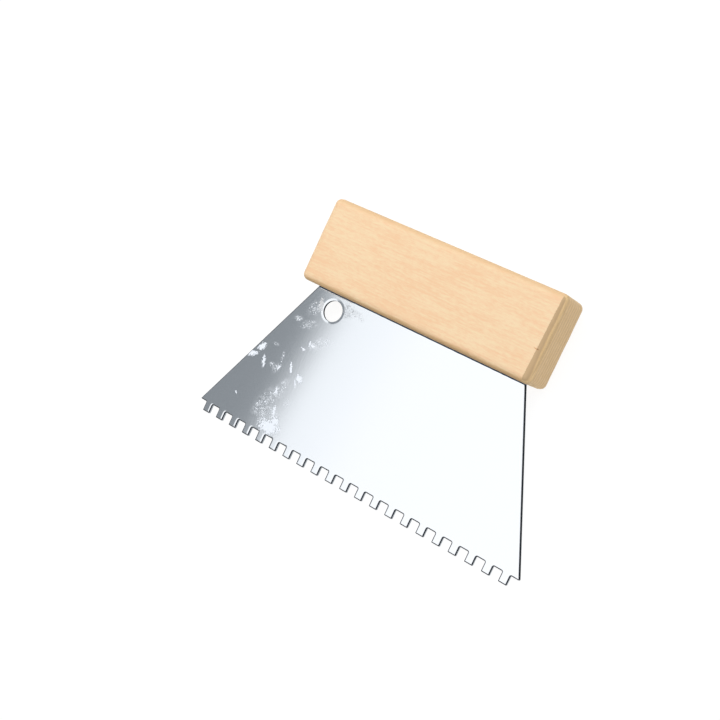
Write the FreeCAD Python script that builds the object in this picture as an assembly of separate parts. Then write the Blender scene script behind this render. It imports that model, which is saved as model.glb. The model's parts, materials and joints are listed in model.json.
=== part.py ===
"""Notched adhesive trowel: a toothed steel blade let into a beech block handle and held by nails.

The pieces are drawn in the blade's own axes: X along the toothed edge with 0 in its middle,
Y towards the handle with 0 at the roots of the notches, Z out of the blade's front face with 0
in the middle of its thickness. They are then laid down as the trowel lies on a bench, front
face up: on its tooth tips and on the lower rear edge of the handle. Sizes are in millimetres.
"""

import FreeCAD, Part
import math
import os

Vector = FreeCAD.Vector

# Toothed edge
TOOTH_COUNT = 21
TOOTH_WIDTH = 4.0
NOTCH_WIDTH = 4.4
NOTCH_DEPTH = 4.5
NOTCH_ROOT_RADIUS = 0.5
LEFT_END_STEP = 3.75

# Blade
BLADE_WIDTH = 180.0
BLADE_THICKNESS = 1.5
BLADE_REACH = 73.7
TANG_DEPTH = 18.0
SIDE_LEAN = 0.463
EDGE_BREAK = 0.2

# Hanging hole
HANG_HOLE_RADIUS = 5.0
HANG_HOLE_X = -43.6
HANG_HOLE_Y = 65.6
HANG_HOLE_BREAK = 0.4

# Handle
HANDLE_LENGTH = 122.0
HANDLE_HEIGHT = 40.5
HANDLE_THICKNESS = 24.0
HANDLE_ROUNDING = 3.0
SLOT_SIDE_GAP = 0.15
SLOT_END_GAP = 0.3
SLOT_FLOOR_GAP = 0.5

# Nails
NAIL_COUNT = 3
NAIL_PITCH = 38.0
NAIL_SHANK_RADIUS = 1.0
NAIL_HEAD_RADIUS = 2.0
NAIL_HEAD_THICKNESS = 0.8
NAIL_LENGTH = 20.0
NAIL_POINT_LENGTH = 3.0
NAIL_TIP_RADIUS = 0.15
NAIL_HOLE_GAP = 0.1

# Worked out from the sizes above
TOOTH_PITCH = TOOTH_WIDTH + NOTCH_WIDTH
BLADE_HALF_WIDTH = BLADE_WIDTH / 2
BLADE_FACE = BLADE_THICKNESS / 2
TANG_TOP = BLADE_REACH + TANG_DEPTH
HANDLE_FACE = HANDLE_THICKNESS / 2
NAIL_Y = BLADE_REACH + TANG_DEPTH / 2


def blade_half_width(height):
    """Half the blade's width at a height above the notch roots: its sides lean inwards."""
    return BLADE_HALF_WIDTH - SIDE_LEAN * height


def root_corner(tooth_side, outward):
    """The rounded corner between a notch's root and one side of a tooth.

    outward is -1 on a tooth's left side and +1 on its right. Returns the corner's point on the
    root, the middle of its arc and its point on the tooth's side.
    """
    centre = Vector(tooth_side + outward * NOTCH_ROOT_RADIUS, -NOTCH_ROOT_RADIUS, 0)
    diagonal = NOTCH_ROOT_RADIUS * math.sqrt(0.5)
    on_root = centre + Vector(0, NOTCH_ROOT_RADIUS, 0)
    middle = centre + Vector(-outward * diagonal, diagonal, 0)
    on_side = centre + Vector(-outward * NOTCH_ROOT_RADIUS, 0, 0)
    return on_root, middle, on_side


def tooth_edges(left, reached):
    """One tooth's outline, joined to the last point reached. Returns its edges and its end."""
    right = left + TOOTH_WIDTH
    left_root, left_middle, left_side = root_corner(left, -1)
    right_root, right_middle, right_side = root_corner(right, 1)
    tip_left = Vector(left, -NOTCH_DEPTH, 0)
    tip_right = Vector(right, -NOTCH_DEPTH, 0)
    edges = [
        Part.makeLine(reached, left_root),
        Part.Arc(left_root, left_middle, left_side).toShape(),
        Part.makeLine(left_side, tip_left),
        Part.makeLine(tip_left, tip_right),
        Part.makeLine(tip_right, right_side),
        Part.Arc(right_side, right_middle, right_root).toShape(),
    ]
    return edges, right_root


def blade_outline():
    """The blade's closed outline: the teeth from left to right, then round over the tang."""
    start = Vector(-BLADE_HALF_WIDTH, 0, 0)
    reached = start
    edges = []
    for index in range(TOOTH_COUNT):
        left = LEFT_END_STEP - BLADE_HALF_WIDTH + index * TOOTH_PITCH
        tooth, reached = tooth_edges(left, reached)
        edges.extend(tooth)
    tang_half_width = blade_half_width(TANG_TOP)
    corners = [
        reached,
        Vector(BLADE_HALF_WIDTH, 0, 0),
        Vector(tang_half_width, TANG_TOP, 0),
        Vector(-tang_half_width, TANG_TOP, 0),
        start,
    ]
    for first, second in zip(corners, corners[1:]):
        edges.append(Part.makeLine(first, second))
    return Part.Wire(edges)


def face_edges(plate):
    """The edges of a plate that lie in its front or its back face."""
    found = []
    for edge in plate.Edges:
        box = edge.BoundBox
        if box.ZLength < EDGE_BREAK:
            found.append(edge)
    return found


def hang_hole_cutter():
    """A round hole through the blade with a small countersink at each face."""
    cutter = Part.makeCylinder(
        HANG_HOLE_RADIUS, 2 * BLADE_THICKNESS, Vector(0, 0, -BLADE_THICKNESS)
    )
    wide = HANG_HOLE_RADIUS + 2 * HANG_HOLE_BREAK
    for side in (-1, 1):
        countersink = Part.makeCone(
            wide,
            HANG_HOLE_RADIUS,
            2 * HANG_HOLE_BREAK,
            Vector(0, 0, side * (BLADE_FACE + HANG_HOLE_BREAK)),
            Vector(0, 0, -side),
        )
        cutter = cutter.fuse(countersink)
    cutter.translate(Vector(HANG_HOLE_X, HANG_HOLE_Y, 0))
    return cutter


def nail_places():
    """The X position of each nail: evenly spaced about the middle of the handle."""
    first = -NAIL_PITCH * (NAIL_COUNT - 1) / 2
    return [first + index * NAIL_PITCH for index in range(NAIL_COUNT)]


def nail(place):
    """A flat-headed wire nail, its head flush with the handle's back and its point inside."""
    point_start = NAIL_LENGTH - NAIL_POINT_LENGTH
    head = Part.makeCylinder(NAIL_HEAD_RADIUS, NAIL_HEAD_THICKNESS)
    shank = Part.makeCylinder(NAIL_SHANK_RADIUS, point_start)
    point = Part.makeCone(
        NAIL_SHANK_RADIUS, NAIL_TIP_RADIUS, NAIL_POINT_LENGTH, Vector(0, 0, point_start)
    )
    shape = head.fuse([shank, point]).removeSplitter()
    shape.translate(Vector(place, NAIL_Y, -HANDLE_FACE))
    return shape.Solids[0]


def notched_blade():
    """The steel plate: toothed edge, tapering sides, hanging hole and holes for the nails."""
    plate = Part.Face(blade_outline()).extrude(Vector(0, 0, BLADE_THICKNESS))
    plate.translate(Vector(0, 0, -BLADE_FACE))
    plate = plate.makeChamfer(EDGE_BREAK, face_edges(plate))
    plate = plate.cut(hang_hole_cutter())
    for place in nail_places():
        hole = Part.makeCylinder(
            NAIL_SHANK_RADIUS + NAIL_HOLE_GAP,
            2 * BLADE_THICKNESS,
            Vector(place, NAIL_Y, -BLADE_THICKNESS),
        )
        plate = plate.cut(hole)
    return plate.Solids[0]


def tang_slot():
    """The stopped slot in the handle's underside that takes the blade's tang."""
    half_length = blade_half_width(BLADE_REACH) + SLOT_END_GAP
    half_width = BLADE_FACE + SLOT_SIDE_GAP
    depth = TANG_DEPTH + SLOT_FLOOR_GAP
    below = HANDLE_ROUNDING
    return Part.makeBox(
        2 * half_length,
        depth + below,
        2 * half_width,
        Vector(-half_length, BLADE_REACH - below, -half_width),
    )


def handle_block():
    """The wooden block: every edge rounded, slotted underneath and pierced by the nails."""
    block = Part.makeBox(
        HANDLE_LENGTH,
        HANDLE_HEIGHT,
        HANDLE_THICKNESS,
        Vector(-HANDLE_LENGTH / 2, BLADE_REACH, -HANDLE_FACE),
    )
    block = block.makeFillet(HANDLE_ROUNDING, block.Edges)
    block = block.cut(tang_slot())
    for place in nail_places():
        block = block.cut(nail(place))
    return block.Solids[0]


def lying_tilt():
    """The angle, in degrees, between the blade and the bench.

    The bench line leaves the lower edge of the tooth tips and is tangent to the underside of
    the handle's lower rear rounding.
    """
    run = BLADE_REACH + HANDLE_ROUNDING + NOTCH_DEPTH - EDGE_BREAK
    drop = HANDLE_FACE - HANDLE_ROUNDING - BLADE_FACE
    to_centre = math.atan2(drop, run)
    to_tangent = math.asin(HANDLE_ROUNDING / math.hypot(run, drop))
    return math.degrees(to_centre + to_tangent)


def laid_down(pieces):
    """The pieces turned to lie on the bench, centred over the origin with the bench at Z 0."""
    turn = FreeCAD.Rotation(Vector(1, 0, 0), lying_tilt())
    turned = Part.makeCompound(list(pieces.values()))
    turned = turned.transformed(FreeCAD.Placement(Vector(), turn).toMatrix(), True)
    box = turned.BoundBox
    shift = Vector(-box.Center.x, -box.Center.y, -box.ZMin)
    matrix = FreeCAD.Placement(shift, turn).toMatrix()
    return {name: piece.transformed(matrix, True) for name, piece in pieces.items()}


def trowel():
    """Every piece of the trowel by name."""
    pieces = {"handle_block": handle_block(), "notched_blade": notched_blade()}
    for number, place in enumerate(nail_places(), start=1):
        pieces[f"retaining_nail_{number}"] = nail(place)
    return laid_down(pieces)


os.makedirs("parts", exist_ok=True)
for node, piece in trowel().items():
    piece.exportStep(f"parts/{node}.step")
    box = piece.BoundBox
    size = f"{box.XLength:.2f} x {box.YLength:.2f} x {box.ZLength:.2f}"
    print(f"{node}: {size} mm, {piece.Volume / 1000:.2f} cm3, valid {piece.isValid()}")
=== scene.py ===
"""The looks of the notched trowel: its steel blade, its beech handle block and its nails.

Every piece is built in the blade's own axes, in millimetres: X along the toothed edge with 0 in
its middle, Y towards the handle with 0 at the roots of the notches, Z out of the blade's front
face with 0 in the middle of its thickness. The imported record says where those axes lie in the
row frame, which is in metres. The studio's places are in the row frame.
"""

import json
import math

import bmesh
import bpy
from mathutils import Matrix, Vector, noise
from mathutils.geometry import delaunay_2d_cdt


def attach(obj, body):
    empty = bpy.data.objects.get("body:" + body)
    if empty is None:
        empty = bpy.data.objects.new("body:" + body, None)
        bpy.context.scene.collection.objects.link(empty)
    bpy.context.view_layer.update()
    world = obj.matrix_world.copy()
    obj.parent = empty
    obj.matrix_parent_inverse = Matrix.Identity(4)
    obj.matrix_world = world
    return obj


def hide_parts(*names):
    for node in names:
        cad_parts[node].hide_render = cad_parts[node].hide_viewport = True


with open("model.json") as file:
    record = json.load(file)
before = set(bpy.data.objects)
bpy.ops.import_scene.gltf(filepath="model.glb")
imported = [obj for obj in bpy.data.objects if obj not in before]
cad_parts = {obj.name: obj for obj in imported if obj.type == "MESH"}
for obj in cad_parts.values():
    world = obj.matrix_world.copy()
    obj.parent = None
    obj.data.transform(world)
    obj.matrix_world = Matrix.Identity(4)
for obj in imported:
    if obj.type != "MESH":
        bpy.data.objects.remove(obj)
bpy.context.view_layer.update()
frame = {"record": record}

MM = 0.001
WELD = 0.0005

# Toothed edge
TOOTH_COUNT = 21
TOOTH_WIDTH = 4.0
NOTCH_WIDTH = 4.4
NOTCH_DEPTH = 4.5
NOTCH_ROOT_RADIUS = 0.5
NOTCH_ROOT_STEPS = 4
TOOTH_TIP_RADIUS = 0.2
LEFT_END_STEP = 3.75

# Blade
BLADE_HALF_WIDTH = 90.0
BLADE_THICKNESS = 1.5
BLADE_REACH = 73.7
TANG_DEPTH = 18.0
SIDE_LEAN = 0.463
SIDE_CORNER_RADIUS = 0.3
TANG_CORNER_RADIUS = 1.0
CORNER_STEPS = 3
SHARPEST_RADIUS = 0.01

# The sheet's rolled front edge, its sharper back edge and its slight waviness
FRONT_ARRIS_WIDTH = 0.95
FRONT_ARRIS_DEPTH = 0.32
FRONT_ARRIS_LEAN = 0.3
BACK_ARRIS = 0.15
ARRIS_STEPS = 8
FLAT_RIM = 0.15
SHEET_WAVE = 0.04
SHEET_WAVE_LENGTH = 55.0
SHEET_WAVE_PLANE = 7.0
SHEET_GRID = 4.0

# Hanging hole
HANG_HOLE_RADIUS = 5.0
HANG_HOLE_X = -43.6
HANG_HOLE_Y = 65.6
HANG_HOLE_ROLL = 1.25
HANG_HOLE_ROLL_DEPTH = 0.105
HANG_HOLE_ROLL_POWER = 2.2
HANG_HOLE_STEPS = 96

# Handle
HANDLE_LENGTH = 122.0
HANDLE_HEIGHT = 40.5
HANDLE_THICKNESS = 24.0
HANDLE_ROUNDING = 3.0
HANDLE_GRID = 1.0
FILLET_STEPS = 5
SLOT_SIDE_GAP = 0.15
SLOT_END_GAP = 0.3
SLOT_FLOOR_GAP = 0.5
SLOT_GRID_GAP = 0.2

# Unevenness left by sanding and by use
WOOD_WAVE = 0.03
WOOD_WAVE_LENGTH = 14.0
FILLET_WEAR = 0.14
FILLET_WEAR_LENGTH = 9.0
FILLET_WEAR_BIAS = 0.6
BACK_SKIN = 0.1

# A short split in the handle's front edge, near its right end
SPLIT_X = 57.6
SPLIT_Y = 88.7
SPLIT_ANGLE = -4
SPLIT_HALF_SIZES = (1.5, 0.2, 0.6)

# Nails
NAIL_COUNT = 3
NAIL_PITCH = 38.0
NAIL_SHANK_RADIUS = 1.0
NAIL_HEAD_RADIUS = 2.0
NAIL_HEAD_THICKNESS = 0.8
NAIL_LENGTH = 20.0
NAIL_POINT_LENGTH = 3.0
NAIL_GROOVE_COUNT = 5
NAIL_GROOVE_PITCH = 0.5
NAIL_GROOVE_WIDTH = 0.24
NAIL_STEPS = 32
NAIL_HOLE_GAP = 0.1
NAIL_HOLE_STEPS = 24
NAIL_SEAT_STEPS = 48
NAIL_DIMPLE = 0.12
NAIL_DIMPLE_RADIUS = 4.0

# Worked out from the sizes above
TOOTH_PITCH = TOOTH_WIDTH + NOTCH_WIDTH
BLADE_FACE = BLADE_THICKNESS / 2
TANG_TOP = BLADE_REACH + TANG_DEPTH
HANDLE_FACE = HANDLE_THICKNESS / 2
HANDLE_MIDDLE = BLADE_REACH + HANDLE_HEIGHT / 2
HANDLE_TOP = BLADE_REACH + HANDLE_HEIGHT
NAIL_Y = BLADE_REACH + TANG_DEPTH / 2
NAIL_PLACES = [NAIL_PITCH * (index - (NAIL_COUNT - 1) / 2) for index in range(NAIL_COUNT)]


def blade_axes():
    """The matrix from the blade's own axes to the row frame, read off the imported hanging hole."""
    hole = next(m for m in frame["record"]["mounts"] if m["name"] == "hang_hole")
    along = Vector((1, 0, 0))
    front = Vector(hole["axis"]).normalized()
    up = front.cross(along)
    origin = Vector(hole["pos_m"]) - along * HANG_HOLE_X * MM - up * HANG_HOLE_Y * MM
    turn = Matrix((along, up, front)).transposed().to_4x4()
    return Matrix.Translation(origin) @ turn


def lay_down(piece, node):
    """Puts a piece built in the blade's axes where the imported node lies, and hides the node."""
    piece.matrix_world = blade_axes()
    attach(piece, "root")
    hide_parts(node)


# ---------------------------------------------------------------------------------------------
# Shared by all the meshes
# ---------------------------------------------------------------------------------------------


def object_of(name, bm):
    """An object in the scene made from a bmesh, which is used up."""
    mesh = bpy.data.meshes.new(name)
    bm.to_mesh(mesh)
    bm.free()
    made = bpy.data.objects.new(name, mesh)
    bpy.context.scene.collection.objects.link(made)
    return made


def finished_piece(name, bm, material, sharp_angle=40):
    """A smooth-shaded object in metres from a bmesh in millimetres."""
    bmesh.ops.remove_doubles(bm, verts=bm.verts, dist=WELD)
    bmesh.ops.recalc_face_normals(bm, faces=bm.faces)
    bmesh.ops.scale(bm, vec=(MM, MM, MM), verts=bm.verts)
    piece = object_of(name, bm)
    piece.data.shade_smooth()
    piece.data.set_sharp_from_angle(angle=math.radians(sharp_angle))
    piece.data.materials.append(material)
    return piece


def smooth_noise(x, y, z, size):
    """Smooth noise between about -1 and 1 whose bumps are about size across."""
    return noise.noise(Vector((x, y, z)) / size)


def loop_of(bm, points, z):
    """A closed ring of vertices at one height."""
    return [bm.verts.new((p.x, p.y, z)) for p in points]


def join_loops(bm, loops):
    """Quads between each ring and the next. The rings have the same number of vertices."""
    for first, second in zip(loops, loops[1:]):
        for index in range(len(first)):
            after = (index + 1) % len(first)
            bm.faces.new((first[index], first[after], second[after], second[index]))


def circle(x, y, radius, steps):
    """Points evenly spaced round a circle."""
    turns = [2 * math.pi * step / steps for step in range(steps)]
    return [Vector((x + radius * math.cos(t), y + radius * math.sin(t))) for t in turns]


# ---------------------------------------------------------------------------------------------
# The blade
# ---------------------------------------------------------------------------------------------


def turned(arm, angle):
    """A flat vector turned anticlockwise."""
    x = arm.x * math.cos(angle) - arm.y * math.sin(angle)
    y = arm.x * math.sin(angle) + arm.y * math.cos(angle)
    return Vector((x, y))


def rounded_outline(corners, inset, lean=0.0):
    """A closed outline with rounded corners, moved inwards.

    corners holds (x, y, radius, steps), anticlockwise. A lean above 0 moves the sides that face
    right further in, and those that face left less. Each corner keeps its number of points
    whatever the inset is, so outlines with different insets join point by point.
    """
    points = []
    count = len(corners)
    for index, (x, y, radius, steps) in enumerate(corners):
        here = Vector((x, y))
        before = (here - Vector(corners[index - 1][:2])).normalized()
        after = (Vector(corners[(index + 1) % count][:2]) - here).normalized()
        turn = before.cross(after)
        side = 1 if turn > 0 else -1
        first = inset * (1 + lean * before.y)
        second = inset * (1 + lean * after.y)
        rounding = max(radius - side * (first + second) / 2, SHARPEST_RADIUS)
        corner = here + (after * first - before * second) / turn
        centre = corner + (after - before) / turn * rounding * side
        start = Vector((before.y, -before.x)) * side
        angle = math.atan2(turn, before.dot(after))
        for step in range(steps + 1):
            points.append(centre + turned(start, step / steps * angle) * rounding)
    return points


def blade_corners():
    """The corners of the blade: along the teeth from left to right, then round over the tang."""
    corners = [(-BLADE_HALF_WIDTH, 0, SIDE_CORNER_RADIUS, CORNER_STEPS)]
    for index in range(TOOTH_COUNT):
        left = LEFT_END_STEP - BLADE_HALF_WIDTH + index * TOOTH_PITCH
        right = left + TOOTH_WIDTH
        corners.append((left, 0, NOTCH_ROOT_RADIUS, NOTCH_ROOT_STEPS))
        corners.append((left, -NOTCH_DEPTH, TOOTH_TIP_RADIUS, CORNER_STEPS))
        corners.append((right, -NOTCH_DEPTH, TOOTH_TIP_RADIUS, CORNER_STEPS))
        corners.append((right, 0, NOTCH_ROOT_RADIUS, NOTCH_ROOT_STEPS))
    tang_half_width = BLADE_HALF_WIDTH - SIDE_LEAN * TANG_TOP
    corners.append((BLADE_HALF_WIDTH, 0, SIDE_CORNER_RADIUS, CORNER_STEPS))
    corners.append((tang_half_width, TANG_TOP, TANG_CORNER_RADIUS, CORNER_STEPS))
    corners.append((-tang_half_width, TANG_TOP, TANG_CORNER_RADIUS, CORNER_STEPS))
    return corners


def arris(width, depth, side):
    """A quarter-round edge as (inset, z) pairs, from the flat face to the edge's wall."""
    steps = []
    for step in range(ARRIS_STEPS + 1):
        angle = math.pi / 2 * step / ARRIS_STEPS
        inset = width * (1 - math.sin(angle))
        steps.append((inset, side * (BLADE_FACE - depth * (1 - math.cos(angle)))))
    return steps


def blade_rim(bm):
    """Rings round the blade's edge, from its front face over the rolled edge to its back face."""
    corners = blade_corners()
    front = [(FRONT_ARRIS_WIDTH + FLAT_RIM, BLADE_FACE)]
    front += arris(FRONT_ARRIS_WIDTH, FRONT_ARRIS_DEPTH, 1)
    back = [*reversed(arris(BACK_ARRIS, BACK_ARRIS, -1)), (BACK_ARRIS + FLAT_RIM, -BLADE_FACE)]
    rings = []
    for inset, z in front:
        rings.append(loop_of(bm, rounded_outline(corners, inset, FRONT_ARRIS_LEAN), z))
    for inset, z in back:
        rings.append(loop_of(bm, rounded_outline(corners, inset), z))
    join_loops(bm, rings)
    return rings


def hang_hole_profile():
    """The punched hole's edge as (radius, z): rolled over in front, a fine chamfer behind."""
    profile = [(HANG_HOLE_RADIUS + HANG_HOLE_ROLL + FLAT_RIM, BLADE_FACE)]
    for step in range(ARRIS_STEPS + 1):
        share = step / ARRIS_STEPS
        radius = HANG_HOLE_RADIUS + HANG_HOLE_ROLL * (1 - share)
        profile.append((radius, BLADE_FACE - HANG_HOLE_ROLL_DEPTH * share**HANG_HOLE_ROLL_POWER))
    profile.append((HANG_HOLE_RADIUS, BACK_ARRIS - BLADE_FACE))
    profile.append((HANG_HOLE_RADIUS + BACK_ARRIS, -BLADE_FACE))
    return profile


def nail_hole_profile():
    """A plain punched hole in the tang for a nail."""
    radius = NAIL_SHANK_RADIUS + NAIL_HOLE_GAP
    return [(radius, BLADE_FACE), (radius, -BLADE_FACE)]


def blade_holes(bm):
    """The walls of the hanging hole and the nail holes, each as its rings from front to back."""
    rows = [(HANG_HOLE_X, HANG_HOLE_Y, HANG_HOLE_STEPS, hang_hole_profile())]
    rows += [(place, NAIL_Y, NAIL_HOLE_STEPS, nail_hole_profile()) for place in NAIL_PLACES]
    holes = []
    for x, y, steps, profile in rows:
        rings = [loop_of(bm, circle(x, y, radius, steps), z) for radius, z in profile]
        join_loops(bm, rings)
        holes.append(rings)
    return holes


def inside_blade(x, y, margin):
    """Whether a point is in the blade's plain area, clear of its edges and its hanging hole."""
    if not margin < y < TANG_TOP - margin:
        return False
    if abs(x) > BLADE_HALF_WIDTH - SIDE_LEAN * y - margin:
        return False
    return math.hypot(x - HANG_HOLE_X, y - HANG_HOLE_Y) > HANG_HOLE_RADIUS + margin


def sheet_points():
    """Points of an even triangular grid over the blade's plain area."""
    points = []
    columns = int(BLADE_HALF_WIDTH / SHEET_GRID)
    for column in range(-columns, columns + 1):
        for row in range(int(TANG_TOP / SHEET_GRID) + 1):
            x = (column + (row % 2) / 2) * SHEET_GRID
            y = row * SHEET_GRID
            if inside_blade(x, y, SHEET_GRID / 2):
                points.append(Vector((x, y)))
    return points


def fill_face(bm, outer, holes, z):
    """Fills between an outline and its holes with even triangles, using the rings' vertices."""
    rings = [outer, *holes]
    known = [vertex for ring in rings for vertex in ring]
    loops = []
    first = 0
    for ring in rings:
        loops.append(list(range(first, first + len(ring))))
        first += len(ring)
    flat = [vertex.co.to_2d() for vertex in known] + sheet_points()
    edges = [(loop[i - 1], loop[i]) for loop in loops for i in range(len(loop))]
    leave_out_holes = 2
    tolerance = 1e-5
    filled = delaunay_2d_cdt(flat, edges, loops, leave_out_holes, tolerance)
    corners, _, triangles, origins, _, _ = filled
    placed = []
    for corner, origin in zip(corners, origins):
        if origin and origin[0] < len(known):
            placed.append(known[origin[0]])
        else:
            placed.append(bm.verts.new((corner.x, corner.y, z)))
    for triangle in triangles:
        bm.faces.new([placed[i] for i in triangle])


def notched_blade(material):
    """The steel plate, with a rolled front edge, a sharper back edge and its holes."""
    bm = bmesh.new()
    rim = blade_rim(bm)
    holes = blade_holes(bm)
    fill_face(bm, rim[0], [rings[0] for rings in holes], BLADE_FACE)
    fill_face(bm, rim[-1], [rings[-1] for rings in holes], -BLADE_FACE)
    for vertex in bm.verts:
        x, y, _ = vertex.co
        vertex.co.z += SHEET_WAVE * smooth_noise(x, y, SHEET_WAVE_PLANE, SHEET_WAVE_LENGTH)
    return finished_piece("Blade", bm, material)


# ---------------------------------------------------------------------------------------------
# The handle. Until it is finished, its Y is 0 in the block's middle.
# ---------------------------------------------------------------------------------------------


def grid_lines(half, extra=()):
    """Grid lines over one side of the block: even in the flat, by even angles in the fillets."""
    flat = half - HANDLE_ROUNDING
    count = round(2 * flat / HANDLE_GRID)
    lines = {round(-flat + 2 * flat * step / count, 4) for step in range(count + 1)}
    for step in range(1, FILLET_STEPS + 1):
        reach = flat + HANDLE_ROUNDING * math.tan(math.pi / 4 * step / FILLET_STEPS)
        lines |= {round(reach, 4), round(-reach, 4)}
    for value in extra:
        lines = {line for line in lines if abs(abs(line) - value) > SLOT_GRID_GAP}
        lines |= {value, -value}
    return sorted(lines)


def rounded(point, half):
    """A point on a box moved onto the same box with rounded edges."""
    core = Vector()
    for axis in range(3):
        reach = half[axis] - HANDLE_ROUNDING
        core[axis] = max(-reach, min(reach, point[axis]))
    return core + (point - core).normalized() * HANDLE_ROUNDING


def block_side(bm, half, lines, axis, side):
    """One side of the rounded box as a grid."""
    first, second = [a for a in range(3) if a != axis]
    rows = []
    for u in lines[first]:
        row = []
        for v in lines[second]:
            point = Vector()
            point[axis] = side * half[axis]
            point[first] = u
            point[second] = v
            row.append(bm.verts.new(rounded(point, half)))
        rows.append(row)
    for here, after in zip(rows, rows[1:]):
        for i in range(len(here) - 1):
            bm.faces.new((here[i], here[i + 1], after[i + 1], after[i]))


def rounded_block(half, lines):
    """A bmesh of the rounded box, with a grid on each of its six sides."""
    bm = bmesh.new()
    for axis in range(3):
        for side in (-1, 1):
            block_side(bm, half, lines, axis, side)
    bmesh.ops.remove_doubles(bm, verts=bm.verts, dist=WELD)
    bmesh.ops.recalc_face_normals(bm, faces=bm.faces)
    return bm


def nail_dimple(x, y):
    """How far the wood is pressed in round the nail heads."""
    nearest = min(math.hypot(x - place, y - NAIL_Y) for place in NAIL_PLACES)
    share = min(nearest / NAIL_DIMPLE_RADIUS, 1)
    return NAIL_DIMPLE * (1 - share * share) ** 2


def on_fillet(point, half):
    """Whether a point of the block lies on a rounded edge or corner."""
    over = [abs(c) > h - HANDLE_ROUNDING for c, h in zip(point, half)]
    return sum(over) > 1


def wear_block(bm, half):
    """Gives the sanded block slightly uneven faces and fillets, and dimples at the nails."""
    bm.normal_update()
    for vertex in bm.verts:
        x, y, z = vertex.co
        push = smooth_noise(x, y, z, WOOD_WAVE_LENGTH) * WOOD_WAVE - WOOD_WAVE
        if on_fillet(vertex.co, half):
            push += (smooth_noise(x, y, z, FILLET_WEAR_LENGTH) - FILLET_WEAR_BIAS) * FILLET_WEAR
        if z < -half.z + BACK_SKIN:
            push -= nail_dimple(x, y + HANDLE_MIDDLE)
        vertex.co += vertex.normal * push


def sink_slot(bm, half_length, half_width):
    """Sinks the tang's slot into the block's lower side."""
    bm.normal_update()
    faces = []
    for face in bm.faces:
        centre = face.calc_center_median()
        faces_down = face.normal.y < -0.9
        if faces_down and abs(centre.x) < half_length and abs(centre.z) < half_width:
            faces.append(face)
    sunk = bmesh.ops.extrude_face_region(bm, geom=faces)["geom"]
    moved = [item for item in sunk if isinstance(item, bmesh.types.BMVert)]
    bmesh.ops.translate(bm, verts=moved, vec=(0, TANG_DEPTH + SLOT_FLOOR_GAP, 0))
    bmesh.ops.delete(bm, geom=[face for face in faces if face.is_valid], context="FACES_ONLY")


def closed_object(name, bm):
    """An object in millimetres, to cut or to be cut."""
    bmesh.ops.recalc_face_normals(bm, faces=bm.faces)
    return object_of(name, bm)


def handle_cutters():
    """The seats of the nail heads, and the short split."""
    bm = bmesh.new()
    radius = NAIL_HEAD_RADIUS + NAIL_HOLE_GAP / 2
    for place in NAIL_PLACES:
        bmesh.ops.create_cone(
            bm,
            cap_ends=True,
            segments=NAIL_SEAT_STEPS,
            radius1=radius,
            radius2=radius,
            depth=2 * NAIL_HEAD_THICKNESS,
            matrix=Matrix.Translation((place, NAIL_Y - HANDLE_MIDDLE, -HANDLE_FACE)),
        )
    split = Matrix.Translation((SPLIT_X, SPLIT_Y - HANDLE_MIDDLE, HANDLE_FACE))
    split = split @ Matrix.Rotation(math.radians(SPLIT_ANGLE), 4, "Z")
    split = split @ Matrix.Diagonal((*SPLIT_HALF_SIZES, 1))
    bmesh.ops.create_icosphere(bm, subdivisions=2, radius=1, matrix=split)
    return closed_object("Cutters", bm)


def cut_out(block, cutters):
    """A bmesh of the block with the cutters taken out of it. Both objects are used up."""
    cut = block.modifiers.new("Cut", "BOOLEAN")
    cut.operation = "DIFFERENCE"
    cut.solver = "EXACT"
    cut.object = cutters
    bpy.context.view_layer.update()
    bm = bmesh.new()
    bm.from_mesh(block.evaluated_get(bpy.context.evaluated_depsgraph_get()).to_mesh())
    for spare in (block, cutters):
        bpy.data.objects.remove(spare)
    return bm


def handle_block(material):
    """The wooden block: rounded all over, slotted for the tang and seated for the nail heads."""
    half = Vector((HANDLE_LENGTH / 2, HANDLE_HEIGHT / 2, HANDLE_FACE))
    slot_half_length = BLADE_HALF_WIDTH - SIDE_LEAN * BLADE_REACH + SLOT_END_GAP
    slot_half_width = BLADE_FACE + SLOT_SIDE_GAP
    lines = [
        grid_lines(half.x, (slot_half_length,)),
        grid_lines(half.y),
        grid_lines(half.z, (slot_half_width,)),
    ]
    bm = rounded_block(half, lines)
    wear_block(bm, half)
    sink_slot(bm, slot_half_length, slot_half_width)
    bm = cut_out(closed_object("Block", bm), handle_cutters())
    bmesh.ops.translate(bm, verts=bm.verts, vec=(0, HANDLE_MIDDLE, 0))
    return finished_piece("Handle", bm, material)


# ---------------------------------------------------------------------------------------------
# The nails
# ---------------------------------------------------------------------------------------------


def nail_profile():
    """A wire nail as (radius, height, squareness), from the middle of its head to its point."""
    head = NAIL_HEAD_RADIUS
    thickness = NAIL_HEAD_THICKNESS
    shank = NAIL_SHANK_RADIUS
    profile = [
        (head * 0.5, 0.0, 0),
        (head * 0.86, 0.04, 0),
        (head * 0.97, 0.13, 0),
        (head, 0.3, 0),
        (head * 0.97, thickness * 0.7, 0),
        (shank * 1.5, thickness * 0.9, 0),
        (shank, thickness * 1.3, 0),
    ]
    for groove in range(NAIL_GROOVE_COUNT):
        start = thickness * 1.8 + groove * NAIL_GROOVE_PITCH
        profile.append((shank, start, 0))
        profile.append((shank * 0.93, start + NAIL_GROOVE_WIDTH / 2, 0))
        profile.append((shank, start + NAIL_GROOVE_WIDTH, 0))
    point = NAIL_LENGTH - NAIL_POINT_LENGTH
    profile.append((shank, point, 0))
    profile.append((shank * 0.9, point + 0.3, 0.6))
    profile.append((shank * 0.45, NAIL_LENGTH - 1.2, 1))
    profile.append((shank * 0.06, NAIL_LENGTH, 1))
    return profile


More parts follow.
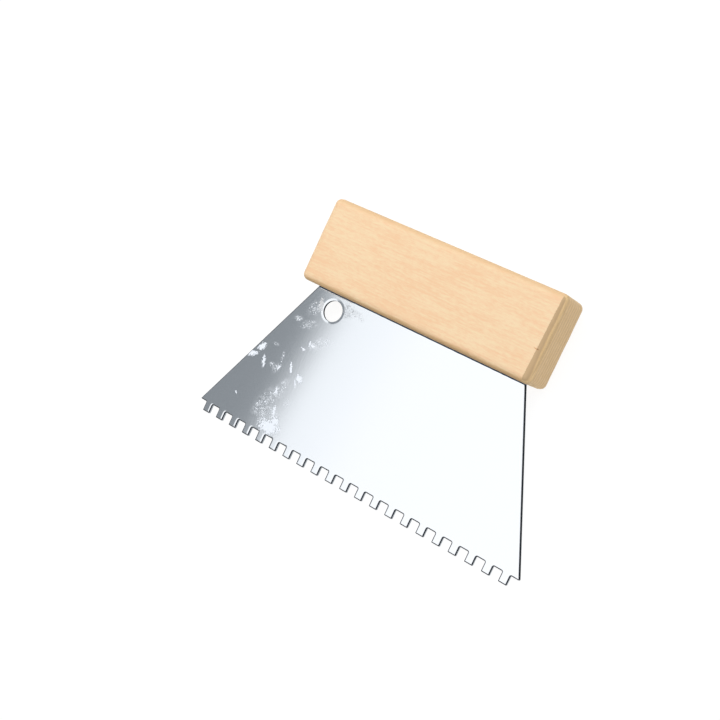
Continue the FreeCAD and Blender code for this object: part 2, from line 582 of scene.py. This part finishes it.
def nail_ring(bm, place, radius, height, squareness):
    """One ring of a nail: round at squareness 0 and four-sided at 1."""
    ring = []
    for step in range(NAIL_STEPS):
        angle = 2 * math.pi * step / NAIL_STEPS
        flat = math.sqrt(0.5) / max(abs(math.cos(angle)), abs(math.sin(angle)))
        reach = radius * (1 + squareness * (flat - 1))
        x = place + reach * math.cos(angle)
        y = NAIL_Y + reach * math.sin(angle)
        ring.append(bm.verts.new((x, y, height - HANDLE_FACE + NAIL_DIMPLE)))
    return ring


def retaining_nail(number, place, material):
    """One nail, its head flush with the block's back and its four-sided point inside."""
    bm = bmesh.new()
    rings = [nail_ring(bm, place, *row) for row in nail_profile()]
    join_loops(bm, rings)
    bm.faces.new(rings[0])
    bm.faces.new(rings[-1])
    return finished_piece(f"Nail_{number}", bm, material, sharp_angle=50)


# ---------------------------------------------------------------------------------------------
# Shared by all the materials
# ---------------------------------------------------------------------------------------------


class Nodes:
    """A node tree, with short ways to add nodes to it and feed them."""

    def __init__(self, tree):
        self.tree = tree

    def node(self, kind, **settings):
        """A new node with the given settings."""
        made = self.tree.nodes.new(kind)
        for name, value in settings.items():
            setattr(made, name, value)
        return made

    def feed(self, socket, value):
        """Links a socket to another, or gives it a plain value."""
        if isinstance(value, bpy.types.NodeSocket):
            self.tree.links.new(value, socket)
        else:
            socket.default_value = value

    def math(self, operation, *values):
        """The result of a sum on numbers."""
        made = self.node("ShaderNodeMath", operation=operation)
        for socket, value in zip(made.inputs, values):
            self.feed(socket, value)
        return made.outputs[0]

    def vector(self, operation, *values, scale=None):
        """The result of a sum on vectors."""
        made = self.node("ShaderNodeVectorMath", operation=operation)
        for socket, value in zip(made.inputs, values):
            self.feed(socket, value)
        if scale is not None:
            self.feed(made.inputs["Scale"], scale)
        return made.outputs["Value" if operation in ("LENGTH", "DOT_PRODUCT") else "Vector"]

    def parts(self, vector):
        """The X, Y and Z of a vector."""
        made = self.node("ShaderNodeSeparateXYZ")
        self.feed(made.inputs[0], vector)
        return made.outputs

    def noise(self, place, size, stretch=(1, 1, 1), detail=2.0, rough=0.5, seed=0.0):
        """Noise from 0 to 1 whose bumps are about size across, longer along stretch."""
        squeezed = self.vector("DIVIDE", place, tuple(s * size for s in stretch))
        made = self.node("ShaderNodeTexNoise", noise_dimensions="4D")
        self.feed(made.inputs["Vector"], squeezed)
        made.inputs["W"].default_value = seed
        made.inputs["Scale"].default_value = 1.0
        made.inputs["Detail"].default_value = detail
        made.inputs["Roughness"].default_value = rough
        return made.outputs["Fac"]

    def pushed(self, value, push, amount):
        """A value pushed up or down by noise, by up to half the amount."""
        return self.math("MULTIPLY_ADD", self.math("SUBTRACT", push, 0.5), amount, value)

    def ramp(self, value, low, high, start=0.0, end=1.0, shape="SMOOTHSTEP"):
        """A step from start at low to end at high."""
        made = self.node("ShaderNodeMapRange", interpolation_type=shape)
        self.feed(made.inputs["Value"], value)
        self.feed(made.inputs["From Min"], low)
        self.feed(made.inputs["From Max"], high)
        self.feed(made.inputs["To Min"], start)
        self.feed(made.inputs["To Max"], end)
        return made.outputs[0]

    def mix(self, share, first, second, blend="MIX"):
        """A blend of two colours."""
        made = self.node("ShaderNodeMix", data_type="RGBA", blend_type=blend)
        self.feed(made.inputs[0], share)
        for socket, value in zip(made.inputs[6:8], (first, second)):
            self.feed(socket, value)
        return made.outputs[2]


class PieceMaterial(Nodes):
    """A piece's material. Places are read in the piece's own axes, in millimetres."""

    def __init__(self, name):
        self.material = bpy.data.materials.new(name)
        self.material.use_nodes = True
        super().__init__(self.material.node_tree)
        self.shader = self.tree.nodes["Principled BSDF"]
        texture_space = self.node("ShaderNodeTexCoord")
        self.normal = texture_space.outputs["Normal"]
        self.place = self.vector("SCALE", texture_space.outputs["Object"], scale=1 / MM)

    def set(self, name, value):
        """Gives one of the shader's inputs a plain value or the result of other nodes."""
        self.feed(self.shader.inputs[name], value)

    def bump(self, height, distance, strength=1.0):
        """Feeds a bump of the given depth, in millimetres, to the shader."""
        made = self.node("ShaderNodeBump")
        self.feed(made.inputs["Height"], height)
        made.inputs["Distance"].default_value = distance * MM
        made.inputs["Strength"].default_value = strength
        self.set("Normal", made.outputs[0])


def opaque(red, green, blue):
    """A colour that nothing shows through."""
    return (red, green, blue, 1.0)


# ---------------------------------------------------------------------------------------------
# Beech
# ---------------------------------------------------------------------------------------------

BEECH = opaque(0.888, 0.576, 0.336)
BEECH_PALE = opaque(0.912, 0.688, 0.430)
BEECH_DARK = opaque(0.77, 0.50, 0.26)
# Painted shade along the block's bottom edge above the blade
BEECH_SHADED_EDGE = opaque(0.74, 0.475, 0.235)
BEECH_PORE = opaque(0.86, 0.53, 0.29)
END_GRAIN = opaque(0.785, 0.525, 0.25)
# Also used as painted shade on the ends' front fillet
END_GRAIN_DARK = opaque(0.55, 0.37, 0.20)
# Also used for a painted highlight line just behind that fillet
END_GRAIN_PALE = opaque(0.87, 0.61, 0.32)

# The growth rings' middle lies far in front of the block
RING_PITCH = 2.6
RING_DRIFT = 3.0
PITH_Y = HANDLE_MIDDLE + 8.0
PITH_Z = 150.0

# Soft borders in the wood: where a colour starts to show, and where it is at its strongest
TOP_BORDER = (HANDLE_TOP - 3.2, HANDLE_TOP - 0.6)
# Where the painted shade along the block's bottom edge starts and is strongest
LOWER_SHADE_BORDER = (BLADE_REACH + 2.4, BLADE_REACH + 0.8)
# Where the painted shade on the ends' front fillet starts and is strongest, then the painted
# highlight line behind it
SHADED_FILLET_BORDER = (HANDLE_FACE - 0.85, HANDLE_FACE - 0.55)
EDGE_HIGHLIGHT_BACK_BORDER = (HANDLE_FACE - 1.35, HANDLE_FACE - 1.2)
EDGE_HIGHLIGHT_FRONT_BORDER = (HANDLE_FACE - 0.9, HANDLE_FACE - 1.05)

# The same for the end grain, outwards from the block's middle
RIGHT_END = HANDLE_LENGTH / 2 - HANDLE_ROUNDING + 0.08
RIGHT_END_BORDER = (RIGHT_END, RIGHT_END + 0.25)
RIGHT_END_SLANT = 0.03
LEFT_END = HANDLE_LENGTH / 2 - 0.2
LEFT_END_BORDER = (LEFT_END, LEFT_END + 0.8)


def ring_bands(graph):
    """Growth rings: 0 in early wood, 1 in late wood."""
    _, y, z = graph.parts(graph.place)
    across = graph.math("SUBTRACT", y, PITH_Y)
    behind = graph.math("SUBTRACT", PITH_Z, z)
    squares = graph.math("ADD", graph.math("POWER", across, 2.0), graph.math("POWER", behind, 2.0))
    radius = graph.math("SQRT", squares)
    drift = graph.noise(graph.place, 24.0, (4.0, 1, 1), detail=2.0, seed=3.0)
    radius = graph.math("MULTIPLY_ADD", drift, RING_DRIFT, radius)
    phase = graph.math("FRACT", graph.math("DIVIDE", radius, RING_PITCH))
    rise = graph.ramp(phase, 0.15, 0.85)
    fall = graph.ramp(phase, 0.88, 1.0, 1.0, 0.0)
    return graph.math("MULTIPLY", rise, fall)


def long_grain(graph, streaks, pores):
    """The colour of the block's sides: soft streaks and pores, darker at its top, with painted
    shade along its bottom edge above the blade.
    """
    place = graph.place
    y = graph.parts(place)[1]
    flecks = graph.noise(place, 0.8, (3.4, 1, 1), detail=3.0, rough=0.6, seed=5.0)
    patches = graph.noise(place, 3.2, (4.5, 1, 1), detail=3.0, rough=0.6, seed=11.0)
    broad = graph.noise(place, 9.0, (3.0, 1, 1), detail=2.0, seed=25.0)
    figure = graph.math("MULTIPLY_ADD", flecks, 1.2, graph.math("MULTIPLY", streaks, 1.3))
    figure = graph.math("ADD", figure, graph.math("MULTIPLY", patches, 0.8))
    figure = graph.math("ADD", figure, graph.math("MULTIPLY", broad, 0.7))
    colour = graph.mix(graph.ramp(figure, 1.65, 2.35), BEECH, BEECH_PALE)
    colour = graph.mix(graph.ramp(pores, 0.55, 0.80, 0.0, 0.6), colour, BEECH_PORE)

    ragged_y = graph.pushed(y, streaks, 2.4)
    top = graph.ramp(ragged_y, *TOP_BORDER)
    colour = graph.mix(graph.math("MULTIPLY", top, 0.75), colour, BEECH_DARK)
    ragged_y = graph.pushed(ragged_y, pores, -1.6)
    # Painted shade along the bottom edge, where the block meets the blade
    bottom = graph.ramp(ragged_y, *LOWER_SHADE_BORDER)
    return graph.mix(bottom, colour, BEECH_SHADED_EDGE)


def end_grain(graph):
    """The colour of the block's ends: rings, rays and tubes, with painted shade on the front fillet
    and a painted highlight line just behind it.
    """
    place = graph.place
    z = graph.parts(place)[2]
    rays = graph.noise(place, 0.42, (1, 1, 3.5), detail=3.0, rough=0.6, seed=14.0)
    lines = graph.noise(place, 0.42, (1, 9.0, 1), detail=3.0, rough=0.6, seed=15.0)
    tubes = graph.noise(place, 0.34, detail=2.0, seed=17.0)
    colour = graph.mix(graph.ramp(lines, 0.38, 0.62), END_GRAIN_PALE, END_GRAIN)
    colour = graph.mix(graph.math("MULTIPLY", ring_bands(graph), 0.5), colour, END_GRAIN_DARK)
    colour = graph.mix(graph.ramp(rays, 0.52, 0.72, 0.0, 0.45), colour, END_GRAIN_PALE)
    colour = graph.mix(graph.ramp(tubes, 0.54, 0.70, 0.0, 0.7), colour, END_GRAIN_DARK)

    # Painted shade on the end's front fillet
    fillet = graph.ramp(z, *SHADED_FILLET_BORDER, 0.0, 0.95)
    colour = graph.mix(fillet, colour, END_GRAIN_DARK)
    # A painted highlight line just behind the shaded fillet
    before = graph.ramp(z, *EDGE_HIGHLIGHT_BACK_BORDER)
    behind = graph.ramp(z, *EDGE_HIGHLIGHT_FRONT_BORDER)
    edge_highlight = graph.math("MULTIPLY", graph.math("MULTIPLY", before, behind), 0.4)
    return graph.mix(edge_highlight, colour, END_GRAIN_PALE)


def at_ends(graph):
    """1 where the block's ends show end grain, with ragged borders, and 0 on its sides."""
    x, y, _ = graph.parts(graph.place)
    ragged = graph.noise(graph.place, 0.5, (2.5, 1, 1), detail=3.0, rough=0.6, seed=20.0)
    above_middle = graph.math("SUBTRACT", y, HANDLE_MIDDLE)
    slanted = graph.math("MULTIPLY_ADD", above_middle, -RIGHT_END_SLANT, x)
    right = graph.math("MULTIPLY_ADD", ragged, 0.7, slanted)
    right = graph.ramp(right, *RIGHT_END_BORDER)
    left = graph.math("MULTIPLY_ADD", ragged, 0.8, graph.math("MULTIPLY", x, -1.0))
    left = graph.ramp(left, *LEFT_END_BORDER)
    return graph.math("MAXIMUM", left, right)


def beech():
    """Sanded beech: pale long grain on the sides, and darker end grain."""
    graph = PieceMaterial("Beech")
    streaks = graph.noise(graph.place, 1.0, (22.0, 1, 1), detail=3.0, rough=0.6, seed=1.0)
    pores = graph.noise(graph.place, 0.35, (6.0, 1, 1), detail=2.0, rough=0.6, seed=8.0)
    sides = long_grain(graph, streaks, pores)
    graph.set("Base Color", graph.mix(at_ends(graph), sides, end_grain(graph)))
    graph.set("Roughness", graph.ramp(streaks, 0.3, 0.7, 0.52, 0.66))
    graph.set("Specular IOR Level", 0.3)
    graph.bump(graph.math("MULTIPLY_ADD", pores, -0.6, streaks), 0.03, 0.5)
    return graph.material


# ---------------------------------------------------------------------------------------------
# Steel
# ---------------------------------------------------------------------------------------------

STEEL = opaque(0.80, 0.825, 0.845)
# Brighter steel: partly scuffing, partly a painted highlight beside the handle and left of the
# hanging hole
SCUFF_HIGHLIGHT_STEEL = opaque(0.98, 0.99, 1.0)
# Dark sheared steel; on the walls and the steep part of the rolled edge its darkness is partly
# painted shade
SHEARED_AND_SHADED_STEEL = opaque(0.030, 0.034, 0.040)
BARE_STEEL = opaque(0.46, 0.49, 0.52)
FILM = opaque(0.92, 0.95, 1.0)
DULL_FILM = opaque(0.30, 0.33, 0.36)
# A painted contact shadow where the sheet meets the handle
JOINT_SHADOW_COLOUR = opaque(0.012, 0.070, 0.160)
WIRE = opaque(0.55, 0.56, 0.58)
WIRE_TARNISH = opaque(0.30, 0.27, 0.24)

# Soft borders on the sheet: where a colour starts to show, and where it is at its strongest
# Where the painted contact shadow at the handle starts and is strongest
JOINT_SHADOW_BORDER = (BLADE_REACH - 0.54, BLADE_REACH - 0.42)
# Where the painted highlight line beside the handle starts and is strongest, and its left and right
# ends
HIGHLIGHT_LINE_BORDER = (BLADE_REACH - 0.95, BLADE_REACH - 0.75)
HIGHLIGHT_LINE_LEFT = (-57.0, -50.0)
HIGHLIGHT_LINE_RIGHT = (-32.0, -40.0)
BARE_WALL_BORDER = (BLADE_FACE - 0.32, BLADE_FACE - 0.52)
TEETH_BORDER = (0.6, 0.2)

# The same for the walls, by how squarely they face the front: 1 is squarely, 0 is sideways
# Surfaces facing less squarely than this get the dark sheared steel with its painted shade
WALL_FACING = (0.990, 0.972)

# A distance past every smear, in half widths
FAR_AWAY = 9.0

# Smears reach all through the sheet, so that its height doesn't matter to them
ENDLESS_DEPTH = 1e6

# Dried smears on the blade: middle x and y, half length, half width, and angle in degrees
SMEARS = (
    (-70.4, 36.1, 2.4, 1.5, 60),
    (-74.0, 31.0, 3.0, 1.3, 30),
    (-66.4, 30.4, 2.7, 0.9, -70),
    (-51.2, 33.4, 2.6, 0.6, -65),
    (-44.8, 30.4, 2.2, 1.7, -30),
    (-45.9, 28.0, 2.0, 0.4, -65),
    (-73.1, 11.0, 1.1, 0.4, -40),
    (-49.3, 43.8, 1.3, 0.6, -20),
    (-47.4, 47.3, 1.5, 0.5, -75),
    (-45.3, 47.0, 1.0, 0.7, 0),
    (-57.2, 31.0, 1.5, 0.5, 75),
    (-53.2, 20.8, 1.8, 0.6, -75),
    (-49.8, 12.0, 2.6, 0.7, -80),
    (-48.9, 4.0, 5.6, 3.3, 10),
    (-47.0, 7.6, 2.2, 2.0, 80),
)

# Where the smears are only specks, in the same form
SPECKLED = (
    (-63.8, 40.2, 1.6, 0.9, 0),
    (-57.8, 36.0, 3.0, 0.9, -80),
    (-58.6, 30.0, 2.8, 1.8, 70),
    (-61.0, 30.6, 2.0, 1.6, 0),
    (-57.0, 12.6, 8.0, 3.6, 75),
    (-52.0, 20.5, 8.0, 2.6, 75),
    (-53.0, 9.0, 7.0, 4.0, 20),
    (-45.5, 18.0, 2.4, 1.6, -70),
    (-42.5, 49.5, 6.5, 2.6, 35),
    (-52.5, 54.8, 5.0, 2.0, 30),
    (-58.9, 55.5, 2.4, 1.4, 20),
    (-53.0, 63.0, 3.6, 3.2, 60),
)

# Dull specks to the right of the hanging hole, in the same form
DULLED = (
    (-36.2, 68.6, 3.4, 3.2, -12),
    (-31.0, 68.6, 4.0, 1.6, -12),
)

# The scuff to the left of the hanging hole, partly a painted highlight, and the most handled area,
# in the same form
SCUFF_AND_HIGHLIGHT = (-50.6, 66.0, 1.2, 2.8, 20)
HANDLED = (-52.0, 28.0, 34.0, 13.0, 80)


def distance_to(graph, row):
    """How far a place is from the middle of a smear, with 1 at its edge."""
    x, y, half_length, half_width, angle = row
    mapping = graph.node("ShaderNodeMapping", vector_type="TEXTURE")
    graph.feed(mapping.inputs["Vector"], graph.place)
    mapping.inputs["Location"].default_value = (x, y, 0)
    mapping.inputs["Rotation"].default_value = (0, 0, math.radians(angle))
    mapping.inputs["Scale"].default_value = (half_length, half_width, ENDLESS_DEPTH)
    return graph.vector("LENGTH", mapping.outputs[0])


def nearest_of(graph, rows):
    """The distance to the nearest of several smears."""
    nearest = FAR_AWAY
    for row in rows:
        nearest = graph.math("MINIMUM", distance_to(graph, row), nearest)
    return nearest


def solid_mask(graph, rows):
    """1 on some smears and 0 off them, with ragged edges."""
    ragged = graph.noise(graph.place, 0.9, detail=4.0, rough=0.7, seed=2.0)
    ragged = graph.ramp(ragged, 0.34, 0.66)
    cover = graph.ramp(nearest_of(graph, rows), 1.75, 0.25, 0.0, 1.18)
    return graph.ramp(graph.math("ADD", cover, ragged), 1.08, 1.26)


def speck_mask(graph, rows, seed):
    """1 on small specks scattered over some smears, and a faint haze between them."""
    specks = graph.noise(graph.place, 0.6, detail=1.5, rough=0.6, seed=seed)
    haze = graph.noise(graph.place, 1.7, detail=3.0, rough=0.65, seed=seed + 0.5)
    zone = graph.ramp(nearest_of(graph, rows), 1.5, 0.6)
    sharp = graph.ramp(graph.math("MULTIPLY_ADD", zone, 0.25, specks), 0.80, 0.90)
    faint = graph.math("MULTIPLY", graph.ramp(haze, 0.40, 0.66, 0.0, 0.30), zone)
    return graph.math("MAXIMUM", sharp, faint)


def scuff_and_highlight_mask(graph, height):
    """1 on the painted highlight line beside the handle, above the hanging hole, and on the scuff,
    which is partly a painted highlight too.
    """
    x = graph.parts(graph.place)[0]
    line = graph.ramp(height, *HIGHLIGHT_LINE_BORDER)
    left = graph.ramp(x, *HIGHLIGHT_LINE_LEFT)
    right = graph.ramp(x, *HIGHLIGHT_LINE_RIGHT)
    line = graph.math("MULTIPLY", line, graph.math("MULTIPLY", left, right))
    return graph.math("MAXIMUM", line, solid_mask(graph, (SCUFF_AND_HIGHLIGHT,)))


def wall_mask(graph):
    """1 on the sheet's walls and the steep part of its rolled edge, where dark sheared steel and
    painted shade go, 0 on its flat faces.
    """
    facing = graph.math("ABSOLUTE", graph.parts(graph.normal)[2])
    return graph.ramp(facing, *WALL_FACING)


def wall_colour(graph, joint_shadow):
    """Dark sheared steel, partly painted shade, bare on the lower part of the teeth's walls, with a
    painted contact shadow where the sheet meets the handle.
    """
    _, y, z = graph.parts(graph.place)
    lower = graph.ramp(z, *BARE_WALL_BORDER)
    bare = graph.math("MULTIPLY", lower, graph.ramp(y, *TEETH_BORDER))
    # Sheared steel, painted dark partly as shade
    colour = graph.mix(bare, SHEARED_AND_SHADED_STEEL, BARE_STEEL)
    # The painted contact shadow where the sheet meets the handle
    return graph.mix(joint_shadow, colour, JOINT_SHADOW_COLOUR)


def blade_roughness(graph, mottle, scuff_or_highlight, smeared_or_shaded):
    """Nearly a mirror, duller where the sheet is scuffed or painted with a highlight, and dull
    under smears and where shade is painted dark.
    """
    plain = graph.ramp(mottle, 0.3, 0.7, 0.06, 0.10)
    rough = graph.math("MAXIMUM", plain, graph.math("MULTIPLY", scuff_or_highlight, 0.6))
    return graph.math("MAXIMUM", rough, graph.math("MULTIPLY", smeared_or_shaded, 0.58))


def blade_surface(graph, mottle, film):
    """The relief of the sheet: the film's thickness, and fine scratches where it is handled."""
    brushed = graph.noise(graph.place, 0.55, (1, 9.0, 1), detail=3.0, rough=0.6, seed=43.0)
    handled = graph.ramp(distance_to(graph, HANDLED), 1.25, 0.6, 0.12, 1.0)
    scratched = graph.math("MULTIPLY", graph.math("MULTIPLY", brushed, handled), 2.4)
    return graph.math("ADD", graph.math("MULTIPLY_ADD", film, 4.0, mottle), scratched)


def blade_steel():
    """Bright rolled sheet with pale smears, dark on its sheared edges with painted shade, a painted
    contact shadow under the handle, and painted highlights beside the handle and by the hanging
    hole.
    """
    graph = PieceMaterial("Blade steel")
    place = graph.place
    uneven = graph.noise(place, 3.0, detail=3.0, seed=37.0)
    mottle = graph.noise(place, 0.7, detail=4.0, rough=0.65, seed=41.0)
    height = graph.math("MULTIPLY_ADD", uneven, 0.3, graph.parts(place)[1])

    film = graph.math("MAXIMUM", solid_mask(graph, SMEARS), speck_mask(graph, SPECKLED, 33.0))
    dull = graph.math("MULTIPLY", speck_mask(graph, DULLED, 61.0), 0.8)
    # Scuffed steel with painted highlights beside the handle and left of the hanging hole
    scuff_or_highlight = scuff_and_highlight_mask(graph, height)
    # A painted contact shadow along the joint with the handle
    joint_shadow = graph.ramp(height, *JOINT_SHADOW_BORDER)
    # Painted shade on the walls and the steep part of the rolled edge, with the painted contact
    # shadow at the handle
    dark = graph.math("MAXIMUM", wall_mask(graph), joint_shadow)
    smeared_or_shaded = graph.math("MAXIMUM", graph.math("MAXIMUM", film, dull), dark)

    # The painted highlights, as brighter steel
    colour = graph.mix(scuff_or_highlight, STEEL, SCUFF_HIGHLIGHT_STEEL)
    colour = graph.mix(film, colour, FILM)
    colour = graph.mix(dull, colour, DULL_FILM)
    graph.set("Base Color", graph.mix(dark, colour, wall_colour(graph, joint_shadow)))
    graph.set("Metallic", graph.math("SUBTRACT", 1.0, smeared_or_shaded))
    graph.set("Roughness", blade_roughness(graph, mottle, scuff_or_highlight, smeared_or_shaded))
    graph.set("Specular IOR Level", 0.0)
    graph.bump(blade_surface(graph, mottle, film), 0.0012)
    return graph.material


def nail_steel():
    """Plain drawn wire with a little tarnish."""
    graph = PieceMaterial("Nail steel")
    tarnish = graph.noise(graph.place, 0.8, detail=4.0, rough=0.6, seed=51.0)
    graph.set("Base Color", graph.mix(graph.ramp(tarnish, 0.4, 0.7), WIRE, WIRE_TARNISH))
    graph.set("Metallic", 1.0)
    graph.set("Roughness", graph.ramp(tarnish, 0.3, 0.7, 0.32, 0.55))
    graph.bump(tarnish, 0.02, 0.4)
    return graph.material


# ---------------------------------------------------------------------------------------------
# Studio
# ---------------------------------------------------------------------------------------------

CAMERA_PLACE = (0.21845, -0.03572, 0.45928)
CAMERA_TARGET = (-0.01956, -0.00437, 0.010)
CAMERA_UP = (-0.400, 0.875, 0.273)
CAMERA_LENS = 56.56
CAMERA_NEAREST = 0.01
CAMERA_FARTHEST = 50.0

FLOOR_SIZE = 14.0
FLOOR_CLEARANCE = 0.00005
FLOOR_COLOUR = opaque(0.17, 0.17, 0.17)
FLOOR_ROUGHNESS = 0.9
FLOOR_GLOW = 0.875

SOFTBOX_LEFT = -1.05
SOFTBOX_RIGHT = 0.32
SOFTBOX_FRONT = -1.25
SOFTBOX_BACK = 1.0
SOFTBOX_HEIGHT = 1.0
SOFTBOX_GLOW = 1.45

# The softbox is dark up to a slanting line, and then brightens along the stops
SOFTBOX_DARK = -0.711
SOFTBOX_FADE = 0.50
SOFTBOX_TURN = -10.0
SOFTBOX_STOPS = ((0.165, 0.224), (0.325, 0.78), (0.60, 0.835), (1.0, 0.845))

# Its red and blue as shares of its green: where it is dim, and how they change where it is bright
SOFTBOX_RED = (0.935, 0.065)
SOFTBOX_BLUE = (1.07, -0.055)
SOFTBOX_DIM_LEVEL = 0.65
SOFTBOX_BRIGHT_RANGE = 0.18

# To the right of and behind this corner, the softbox is at least this bright
SOFTBOX_CORNER_X = -0.634
SOFTBOX_CORNER_Y = -0.153
SOFTBOX_CORNER_SOFTNESS = 0.006
SOFTBOX_CORNER_LEVEL = opaque(0.76, 0.78, 0.80)

FLAG_COLOUR = opaque(0.03, 0.03, 0.033)
FLAG_ROUGHNESS = 1.0
FLAG_RIGHT_SIZE = (3.0, 4.0)
FLAG_FRONT_SIZE = (1.1, 2.0)
FLAG_FRONT_X = SOFTBOX_RIGHT - FLAG_FRONT_SIZE[0] / 2

FILL_SIZE = (1.3, 1.2)
FILL_PLACE = (-0.15, 0.36, 0.96)
FILL_POWER = 11.6

SURROUNDINGS_DIM = opaque(0.303, 0.325, 0.351)
SURROUNDINGS_PALE = opaque(0.97, 0.97, 0.97)


def sheet(name, size, place):
    """A flat level rectangle, for a floor, a softbox or a flag."""
    bm = bmesh.new()
    bmesh.ops.create_grid(bm, x_segments=1, y_segments=1, size=0.5)
    bmesh.ops.scale(bm, vec=(*size, 1), verts=bm.verts)
    made = object_of(name, bm)
    made.location = place
    return made


def matte(name, colour, roughness, glow=0.0):
    """A plain material without any shine, which may glow white."""
    material = bpy.data.materials.new(name)
    material.use_nodes = True
    shader = material.node_tree.nodes["Principled BSDF"]
    shader.inputs["Base Color"].default_value = colour
    shader.inputs["Roughness"].default_value = roughness
    shader.inputs["Specular IOR Level"].default_value = 0.0
    shader.inputs["Emission Color"].default_value = opaque(1.0, 1.0, 1.0)
    shader.inputs["Emission Strength"].default_value = glow
    return material


def floor():
    """A pale light table: it glows a little, so only faint shadows fall on it."""
    made = sheet("Floor", (FLOOR_SIZE, FLOOR_SIZE), (0, 0, -FLOOR_CLEARANCE))
    made.data.materials.append(matte("Light table", FLOOR_COLOUR, FLOOR_ROUGHNESS, FLOOR_GLOW))


def softbox_colour(level):
    """A grey of the softbox: cool where it is dim, and nearly neutral where it is bright."""
    warm = max(min((level - SOFTBOX_DIM_LEVEL) / SOFTBOX_BRIGHT_RANGE, 1), 0)
    red = SOFTBOX_RED[0] + SOFTBOX_RED[1] * warm
    blue = SOFTBOX_BLUE[0] + SOFTBOX_BLUE[1] * warm
    return opaque(level * red, level, level * blue)


def softbox_fade(graph, position):
    """The softbox's colours from its dark left end to its bright right part."""
    turn = math.radians(SOFTBOX_TURN)
    across = graph.vector("DOT_PRODUCT", position, (math.cos(turn), math.sin(turn), 0))
    ramp = graph.node("ShaderNodeValToRGB")
    ramp.color_ramp.interpolation = "EASE"
    stops = ramp.color_ramp.elements
    while len(stops) < len(SOFTBOX_STOPS):
        stops.new(1.0)
    for stop, (share, level) in zip(stops, SOFTBOX_STOPS):
        stop.position = share
        stop.color = softbox_colour(level)
    bright = SOFTBOX_DARK + SOFTBOX_FADE
    graph.feed(ramp.inputs[0], graph.ramp(across, SOFTBOX_DARK, bright, shape="LINEAR"))
    return ramp.outputs[0]


def bright_corner(graph, position):
    """1 on the back right of the softbox, whose mirror image lies beside the handle, else 0."""
    edges = []
    for axis, start in enumerate((SOFTBOX_CORNER_X, SOFTBOX_CORNER_Y)):
        low = start - SOFTBOX_CORNER_SOFTNESS
        high = start + SOFTBOX_CORNER_SOFTNESS
        edges.append(graph.ramp(graph.parts(position)[axis], low, high))
    return graph.math("MULTIPLY", *edges)


def overhead_softbox():
    """The large softbox that the blade mirrors, dark at its left and brighter at its back."""
    size = (SOFTBOX_RIGHT - SOFTBOX_LEFT, SOFTBOX_BACK - SOFTBOX_FRONT)
    middle_x = (SOFTBOX_RIGHT + SOFTBOX_LEFT) / 2
    middle_y = (SOFTBOX_BACK + SOFTBOX_FRONT) / 2
    made = sheet("Softbox", size, (middle_x, middle_y, SOFTBOX_HEIGHT))
    made.visible_camera = False
    made.visible_diffuse = False
    material = bpy.data.materials.new("Softbox")
    material.use_nodes = True
    graph = Nodes(material.node_tree)
    graph.tree.nodes.clear()
    position = graph.node("ShaderNodeNewGeometry").outputs["Position"]
    corner = bright_corner(graph, position)
    fade = softbox_fade(graph, position)
    glow = graph.node("ShaderNodeEmission")
    graph.feed(glow.inputs["Strength"], SOFTBOX_GLOW)
    graph.feed(glow.inputs["Color"], graph.mix(corner, fade, SOFTBOX_CORNER_LEVEL, "LIGHTEN"))
    output = graph.node("ShaderNodeOutputMaterial")
    graph.feed(output.inputs["Surface"], glow.outputs[0])
    made.data.materials.append(material)


def flags():
    """Black flags to the right of the softbox and in front of it, which only the steel mirrors."""
    material = matte("Flag", FLAG_COLOUR, FLAG_ROUGHNESS)
    right_x = SOFTBOX_RIGHT + FLAG_RIGHT_SIZE[0] / 2
    front_y = SOFTBOX_FRONT - FLAG_FRONT_SIZE[1] / 2
    right = sheet("Flag_right", FLAG_RIGHT_SIZE, (right_x, 0, SOFTBOX_HEIGHT))
    front = sheet("Flag_front", FLAG_FRONT_SIZE, (FLAG_FRONT_X, front_y, SOFTBOX_HEIGHT))
    for made in (right, front):
        made.visible_camera = False
        made.visible_diffuse = False
        made.visible_shadow = False
        made.data.materials.append(material)


def fill_light():
    """A broad overhead light for the wood and the table, kept out of the steel."""
    light = bpy.data.lights.new("Fill", "AREA")
    light.shape = "RECTANGLE"
    light.size, light.size_y = FILL_SIZE
    light.energy = FILL_POWER
    made = bpy.data.objects.new("Fill", light)
    bpy.context.scene.collection.objects.link(made)
    made.location = FILL_PLACE
    made.visible_glossy = False
    made.visible_camera = False


def surroundings():
    """Dim cool surroundings for the steel to mirror, pale where the camera looks past the table."""
    world = bpy.data.worlds.new("Studio")
    bpy.context.scene.world = world
    world.use_nodes = True
    graph = Nodes(world.node_tree)
    graph.tree.nodes.clear()
    choice = graph.node("ShaderNodeMixShader")
    graph.feed(choice.inputs[0], graph.node("ShaderNodeLightPath").outputs["Is Camera Ray"])
    for socket, colour in zip(choice.inputs[1:], (SURROUNDINGS_DIM, SURROUNDINGS_PALE)):
        background = graph.node("ShaderNodeBackground")
        graph.feed(background.inputs["Color"], colour)
        graph.feed(socket, background.outputs[0])
    output = graph.node("ShaderNodeOutputWorld")
    graph.feed(output.inputs["Surface"], choice.outputs[0])


def camera():
    """The camera, turned so that its upright follows CAMERA_UP."""
    data = bpy.data.cameras.new("Camera")
    data.lens = CAMERA_LENS
    data.clip_start = CAMERA_NEAREST
    data.clip_end = CAMERA_FARTHEST
    made = bpy.data.objects.new("Camera", data)
    bpy.context.scene.collection.objects.link(made)
    back = (Vector(CAMERA_PLACE) - Vector(CAMERA_TARGET)).normalized()
    right = Vector(CAMERA_UP).cross(back).normalized()
    turn = Matrix((right, back.cross(right), back)).transposed().to_4x4()
    made.matrix_world = Matrix.Translation(CAMERA_PLACE) @ turn
    bpy.context.scene.camera = made


# ---------------------------------------------------------------------------------------------
# The whole scene
# ---------------------------------------------------------------------------------------------

lay_down(notched_blade(blade_steel()), "notched_blade")
lay_down(handle_block(beech()), "handle_block")
wire = nail_steel()
for number, place in enumerate(NAIL_PLACES, start=1):
    lay_down(retaining_nail(number, place, wire), f"retaining_nail_{number}")

floor()
overhead_softbox()
flags()
fill_light()
surroundings()
camera()
bpy.context.scene.view_settings.view_transform = "Standard"
